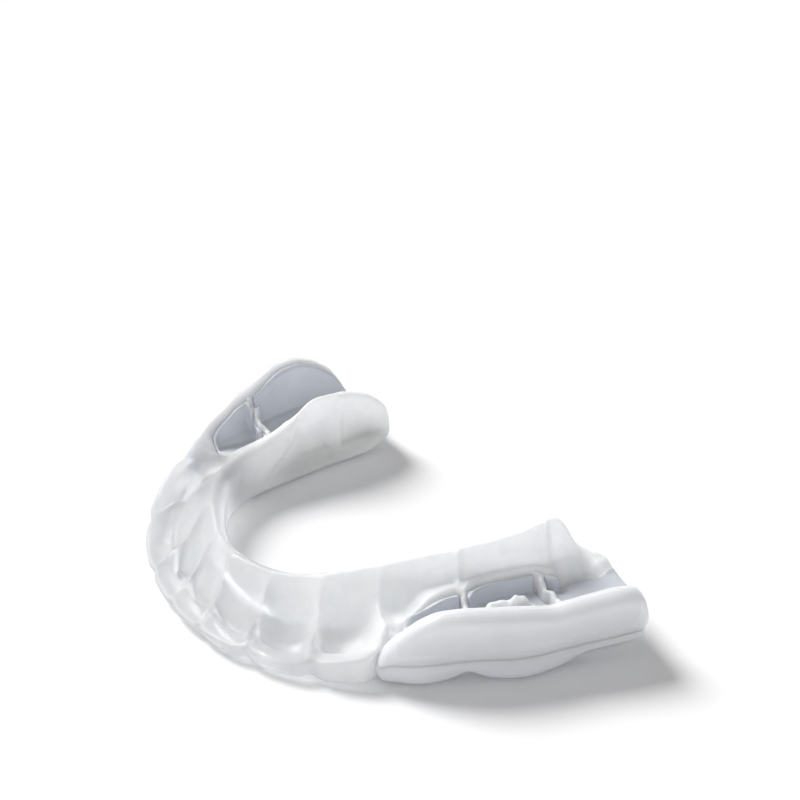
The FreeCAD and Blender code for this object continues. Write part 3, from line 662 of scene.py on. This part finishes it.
def clear_eva():
    """Cloudy clear moulded plastic, clearer round the front teeth than at the molars, with soft ripples."""
    material, shader = principled(
        "clear_eva", (0.92, 0.94, 0.96), IOR=1.42, Subsurface_Weight=0.7, Subsurface_Radius=(1.0, 1.02, 1.08),
        Subsurface_Scale=0.003, Specular_IOR_Level=0.32,
    )
    tree = material.node_tree
    back = axis_place(tree, "Object", "Y")
    clearness = map_range(tree, back, 0.003, 0.013, 0.62, 0.05, "SMOOTHSTEP")
    tree.links.new(clearness, shader.inputs["Transmission Weight"])
    solidity = map_range(tree, back, 0.002, 0.020, 0.72, 0.96, "SMOOTHSTEP")
    tree.links.new(solidity, shader.inputs["Alpha"])
    tree.links.new(remap(tree, noise(tree, 260.0, 4.0), 0.32, 0.45), shader.inputs["Roughness"])

    # Painted shade: faces seen at a glancing angle get a darker base colour, standing in for the dark
    # refracted edges of clear plastic.
    tone = two_tone(tree, noise(tree, 340.0, 5.0, 0.55, 1.2), (0.885, 0.91, 0.945), (0.955, 0.965, 0.98))
    facing = tree.nodes.new("ShaderNodeLayerWeight")
    painted_edge_shade = colour_mix(tree, map_range(tree, facing.outputs["Facing"], 0.80, 1.0, 0.0, 0.6))
    tree.links.new(tone, painted_edge_shade.inputs["A"])
    painted_edge_shade.inputs["B"].default_value = (0.50, 0.53, 0.58, 1.0)
    tree.links.new(painted_edge_shade.outputs["Result"], shader.inputs["Base Color"])
    relief(tree, shader, noise(tree, 420.0, 3.0, 0.55, 0.4), 0.6, 0.0002)
    return material


def white_eva():
    """Milky white plastic that lets a little light into it, with painted light and shade by height: lighter
    towards the wings' crests, darker and bluer low on the pads.
    """
    material, shader = principled(
        "white_eva", (0.72, 0.73, 0.755), Subsurface_Weight=0.85, Subsurface_Radius=(1.0, 1.0, 1.1),
        Subsurface_Scale=0.0022, Roughness=0.38, IOR=1.46,
    )
    tree = material.node_tree
    # Painted shade and light: low is a darker, bluer white for the shaded lower faces of the pads, high a
    # lighter white for the lit crests; they are mixed by height.
    low = two_tone(tree, noise(tree, 90.0, 4.0, 0.6), (0.635, 0.655, 0.695), (0.685, 0.70, 0.735))
    high = two_tone(tree, noise(tree, 120.0, 4.0, 0.6), (0.725, 0.735, 0.755), (0.785, 0.79, 0.803))
    mix = colour_mix(tree, map_range(tree, axis_place(tree, "Object", "Z"), 0.001, 0.0075, 0.0, 1.0))
    tree.links.new(low, mix.inputs["A"])
    tree.links.new(high, mix.inputs["B"])
    tree.links.new(mix.outputs["Result"], shader.inputs["Base Color"])
    tree.links.new(remap(tree, noise(tree, 600.0, 3.0), 0.30, 0.46), shader.inputs["Roughness"])
    relief(tree, shader, noise(tree, 1500.0, 3.0, 0.6), 0.25, 0.00004)
    return material


def grey_lining():
    """Matt blue-grey inner layer with faint flow marks."""
    material, shader = principled("grey_lining", (0.585, 0.61, 0.655), Roughness=0.5, IOR=1.46)
    tree = material.node_tree
    tone = two_tone(tree, noise(tree, 160.0, 5.0, 0.6, 0.6), (0.575, 0.60, 0.65), (0.65, 0.67, 0.715))
    tree.links.new(tone, shader.inputs["Base Color"])
    tree.links.new(remap(tree, noise(tree, 500.0, 3.0), 0.38, 0.62), shader.inputs["Roughness"])
    relief(tree, shader, noise(tree, 900.0, 4.0, 0.6), 0.3, 0.00006)
    return material


def clear_film():
    """Thin glossy clear skin over a wing."""
    material, shader = principled(
        "clear_film", (0.76, 0.77, 0.79), IOR=1.46, Alpha=0.12, Specular_IOR_Level=1.0,
    )
    tree = material.node_tree
    tree.links.new(remap(tree, noise(tree, 300.0, 3.0), 0.16, 0.34), shader.inputs["Roughness"])
    relief(tree, shader, noise(tree, 500.0, 2.0, 0.5), 0.2, 0.00005)
    return material


def badge_ink(name, colour, darker):
    """Printed ink with a faintly uneven, slightly glossy face."""
    material, shader = principled(name, colour, Roughness=0.35)
    tree = material.node_tree
    tree.links.new(two_tone(tree, noise(tree, 1400.0, 4.0), darker, colour), shader.inputs["Base Color"])
    tree.links.new(remap(tree, noise(tree, 2200.0, 3.0), 0.28, 0.42), shader.inputs["Roughness"])
    relief(tree, shader, noise(tree, 3000.0, 2.0), 0.15, 0.00002)
    return material


# ---------------------------------------------------------------- the pieces


def place(piece, material, slot, *nodes):
    """Gives a piece its material and body, and hides the CAD nodes that it stands for; slot is not used."""
    piece.data.materials.append(material)
    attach(piece, "root")
    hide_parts(*nodes)


CLEAR = clear_eva()
WHITE = white_eva()
GREY = grey_lining()
FILM = clear_film()
SIDES = {1: "right", -1: "left"}

whole = Grid((-44.6, 54.0))
grids = {1: Grid((22.5, 54.0)), -1: Grid((-44.6, -15.5))}
wings = {side: wing_field(grid, side) for side, grid in grids.items()}
whites = {side: fillet_white(grid, side, pad_field(grid, side), wings[side]) for side, grid in grids.items()}

shell = whole.distance(shell_field(whole))
shell = soft_min(shell, web_fields(whole), 0.5)
shell = soft_min(shell, whole.distance(flash_field(whole)), 0.3)
for side, (pad, _) in whites.items():
    carve(shell, whole, pad, grids[side], 0.12)
place(whole.to_object("shell_clear", shell), CLEAR, "clear_eva", "clear_arch_shell")

for k, (piece, node) in enumerate((("pad", "bite_pad"), ("wing", "cheek_wing"))):
    for side, name in SIDES.items():
        white = grids[side].to_object(f"{piece}_{name}", whites[side][k])
        place(white, WHITE, "white_eva", f"{name}_{node}")

for side, tooth, start, end in (
    (1, "premolar", 27.6, 33.9),
    (1, "first_molar", 34.5, 43.0),
    (1, "second_molar", 43.7, 51.3),
    (-1, "premolar", 18.4, 26.1),
    (-1, "first_molar", 26.6, 42.2),
):
    field = lining_field(grids[side], side, wings[side], start, end)
    layer = grids[side].to_object(f"lining_{SIDES[side]}_{tooth}", field)
    place(layer, GREY, "grey_lining", f"{SIDES[side]}_{tooth}_liner")

for side, name in SIDES.items():
    film = grids[side].to_object(f"film_{name}", film_field(grids[side], side))
    place(film, FILM, "clear_film", f"{name}_wing_film")

for node, colour, darker in (
    ("badge_ring", (0.42, 0.03, 0.05), (0.34, 0.02, 0.035)),
    ("badge_field", (0.015, 0.03, 0.11), (0.010, 0.02, 0.08)),
    ("badge_chevron", (0.85, 0.86, 0.88), (0.76, 0.77, 0.80)),
):
    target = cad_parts[node]
    target.data.materials.clear()
    target.data.materials.append(badge_ink(f"ink_{node}", colour, darker))


# ---------------------------------------------------------------- floor, light and camera


def add_floor():
    """A wide plain pale floor, just below the guard."""
    mesh = bpy.data.meshes.new("floor")
    half = 1.2
    corners = [(-half, -half, 0), (half, -half, 0), (half, half, 0), (-half, half, 0)]
    mesh.from_pydata(corners, [], [(0, 1, 2, 3)])
    floor = bpy.data.objects.new("floor", mesh)
    bpy.context.scene.collection.objects.link(floor)
    floor.location.z = -0.00002
    material, shader = principled("floor_paint", (0.92, 0.92, 0.925), Roughness=0.9, Specular_IOR_Level=0.1)
    mesh.materials.append(material)


def add_light(data, direction, distance):
    """Adds a light that shines on the guard from a direction."""
    light = bpy.data.objects.new(data.name, data)
    towards = Vector(direction).normalized()
    light.location = Vector((0.0, 0.02, 0.004)) + towards * distance
    light.rotation_euler = towards.to_track_quat("Z", "Y").to_euler()
    bpy.context.scene.collection.objects.link(light)


def add_lights():
    """A soft key light from high on the left front, and a weak low fill from the camera's side."""
    key = bpy.data.lights.new("key", "SUN")
    key.energy = 3.2
    key.angle = 0.45
    add_light(key, (-0.86, -0.42, 0.95), 0.5)
    fill = bpy.data.lights.new("fill", "AREA")
    fill.energy = 0.30
    fill.size = 0.2
    add_light(fill, (0.80, -0.45, 0.28), 0.45)


def add_camera():
    """The camera, looking down on the guard from beside its right wing."""
    azimuth, elevation = math.radians(67.894), math.radians(32.058)
    distance = 0.16599
    target = Vector((0.0, 0.02115, 0.00677))
    level = math.cos(elevation)
    back = Vector((math.sin(azimuth) * level, -math.cos(azimuth) * level, math.sin(elevation)))
    data = bpy.data.cameras.new("camera")
    data.lens = 65.286
    data.sensor_width = 36.0
    data.shift_x = 0.0243
    data.shift_y = 0.112
    data.clip_start = 0.001
    data.clip_end = 5.0
    camera = bpy.data.objects.new("camera", data)
    camera.location = target + back * distance
    camera.rotation_euler = back.to_track_quat("Z", "Y").to_euler()
    bpy.context.scene.collection.objects.link(camera)
    bpy.context.scene.camera = camera


def add_world():
    """Pale surroundings, white near the horizon and dimmer overhead."""
    world = bpy.data.worlds.new("studio")
    world.use_nodes = True
    tree = world.node_tree
    up = axis_place(tree, "Generated", "Z")
    background = tree.nodes["Background"]
    background.inputs["Color"].default_value = (1.0, 1.0, 1.0, 1.0)
    tree.links.new(map_range(tree, up, 0.05, 0.50, 1.0, 0.30, "SMOOTHSTEP"), background.inputs["Strength"])
    bpy.context.scene.world = world


add_floor()
add_lights()
add_camera()
add_world()
bpy.context.scene.view_settings.view_transform = "Standard"
